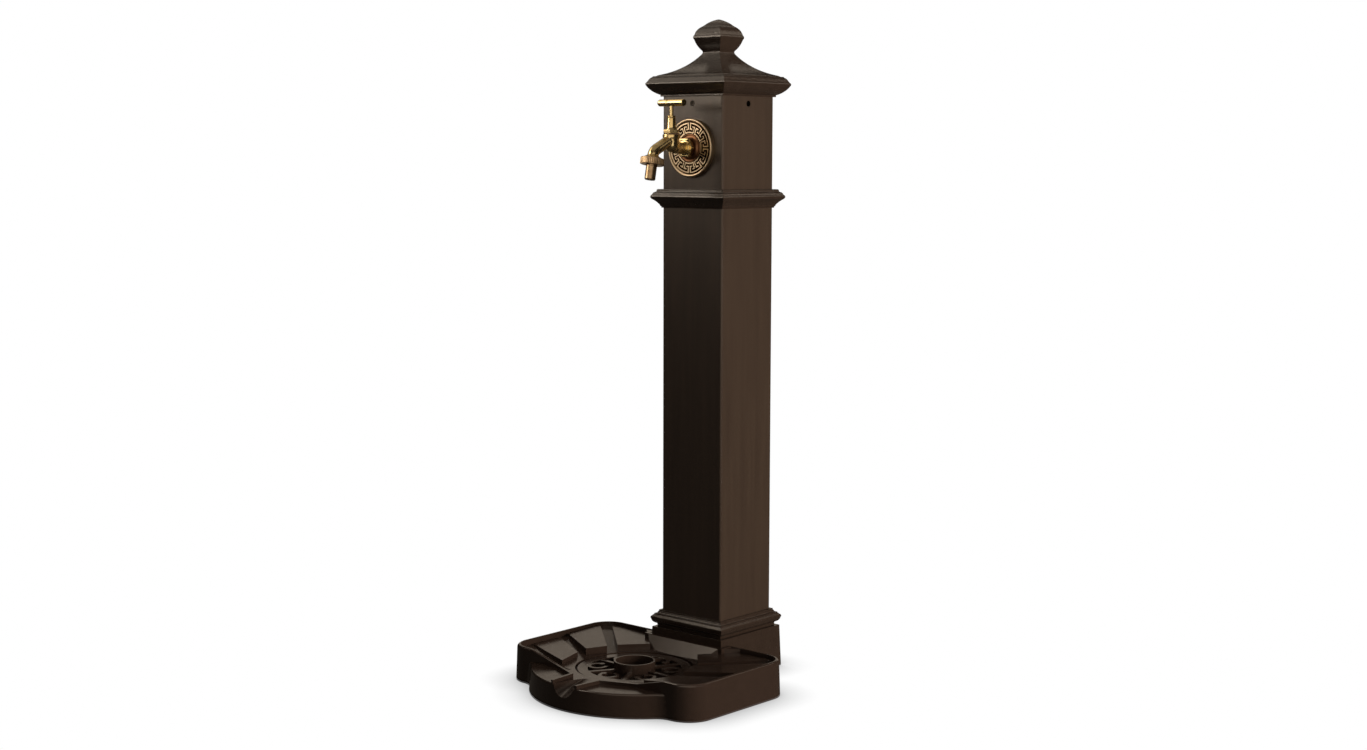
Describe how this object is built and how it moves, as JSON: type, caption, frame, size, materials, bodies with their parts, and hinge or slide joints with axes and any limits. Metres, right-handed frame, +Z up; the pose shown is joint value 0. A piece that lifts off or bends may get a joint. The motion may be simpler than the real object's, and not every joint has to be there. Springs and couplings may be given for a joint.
{
  "type": "garden standpipe",
  "caption": "Free-standing garden standpipe: square column with roof cap and collars, bib tap with hose union on a rosette, and a drip tray with a lift-out grate.",
  "frame": {"origin": "on the ground under the column's axis, in the middle of the ground anchor holes", "axes": "+Z up along the column, -Y to the front where the tap points, +X to the right for someone who faces the tap"},
  "size_m": [0.348, 0.3865, 0.9206],
  "materials": {
    "coat_column": "dark brown satin powder coat on an extruded tube",
    "coat_cast": "dark brown powder coat on rough castings",
    "coat_tray": "dark brown glossy coat on a smooth casting",
    "steel": "plain zinc plated",
    "bronze": "antique bronze with a dark patina in the hollows",
    "brass": "polished",
    "dull_brass": "dull, as cast and turned",
    "copper": "drawn copper pipe",
    "rubber": "matte black",
    "fibre": "red fibre"
  },
  "bodies": {
    "root": {"column_tube": "coat_column", "plinth": "coat_cast", "base_collar": "coat_cast", "upper_collar": "coat_cast", "cap": "coat_cast", "tray": "coat_tray", "base_screws": "steel", "cap_screws": "steel", "tray_bolts": "steel", "tray_nuts": "steel", "rosette": "bronze", "tap_body": "brass", "bonnet": "brass", "gland_nut": "brass", "tap_lock_nut": "dull_brass", "tap_elbow": "dull_brass", "elbow_olive": "dull_brass", "elbow_nut": "dull_brass", "inlet_olive": "dull_brass", "inlet_nut": "dull_brass", "inlet_connector": "dull_brass", "inlet_lock_nut": "dull_brass", "riser_pipe": "copper", "gland_packing": "rubber", "bonnet_washer": "fibre", "lock_washer": "fibre"},
    "valve": {"jumper": "brass", "tap_washer": "rubber", "washer_nut": "brass"},
    "handle": {"spindle": "brass", "t_bar": "brass"},
    "hose_end": {"hose_tail": "dull_brass", "hose_washer": "rubber"},
    "union_nut": {"hose_nut": "dull_brass"},
    "grate": {"grate": "coat_tray"}
  },
  "joints": [
    {"name": "jumper_lift", "type": "slide", "parent": "root", "child": "valve", "axis": [0, 0, 1], "range_m": [0, 0.00563]},
    {"name": "spindle_turn", "type": "hinge", "parent": "valve", "child": "handle", "pos_m": [0, -0.098, 0.78], "axis": [0, 0, 1], "range_deg": [0, 810]},
    {"name": "hose_tail_drop", "type": "slide", "parent": "root", "child": "hose_end", "axis": [0, -0.1908, -0.9816], "range_m": [0, 0.00454]},
    {"name": "hose_nut_turn", "type": "hinge", "parent": "hose_end", "child": "union_nut", "pos_m": [0, -0.13607, 0.7287], "axis": [0, -0.1908, -0.9816], "range_deg": [0, 900]},
    {"name": "grate_lift", "type": "slide", "parent": "root", "child": "grate", "axis": [0, 0, 1], "range_m": [0, 0.06]}
  ],
  "couplings": [
    {"joint": "jumper_lift", "follows": "spindle_turn", "m_per_rad": 0.00039789},
    {"joint": "hose_tail_drop", "follows": "hose_nut_turn", "m_per_rad": 0.00028871}
  ]
}
